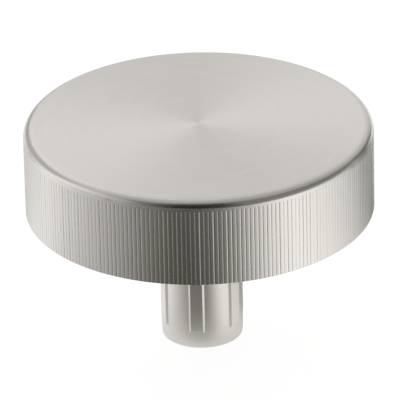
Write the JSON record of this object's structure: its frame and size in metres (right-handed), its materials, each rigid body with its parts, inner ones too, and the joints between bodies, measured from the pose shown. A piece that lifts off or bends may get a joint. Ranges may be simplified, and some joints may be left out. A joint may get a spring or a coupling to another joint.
{
  "type": "faucet handle",
  "caption": "Round tap handle: a thick disc with a finely reeded rim and brushed face on a slim ribbed shank with a splined socket.",
  "frame": {"origin": "centre of the shank's end face, where the handle meets the valve and on which it stands", "axes": "+Z along the turning axis from the shank's end to the disc's face; one rib faces -Y, the grub screw is on the +Y side"},
  "size_m": [0.06, 0.06, 0.0398],
  "materials": {
    "brushed_body": "circular brushed face, fine turned rim and shank",
    "insert_brass": "machined",
    "screw_steel": "plain machined"
  },
  "bodies": {
    "root": {"handle_disc": "brushed_body", "shank": "brushed_body", "spline_insert": "insert_brass", "disc_screw": "screw_steel", "set_screw": "screw_steel"}
  },
  "joints": []
}
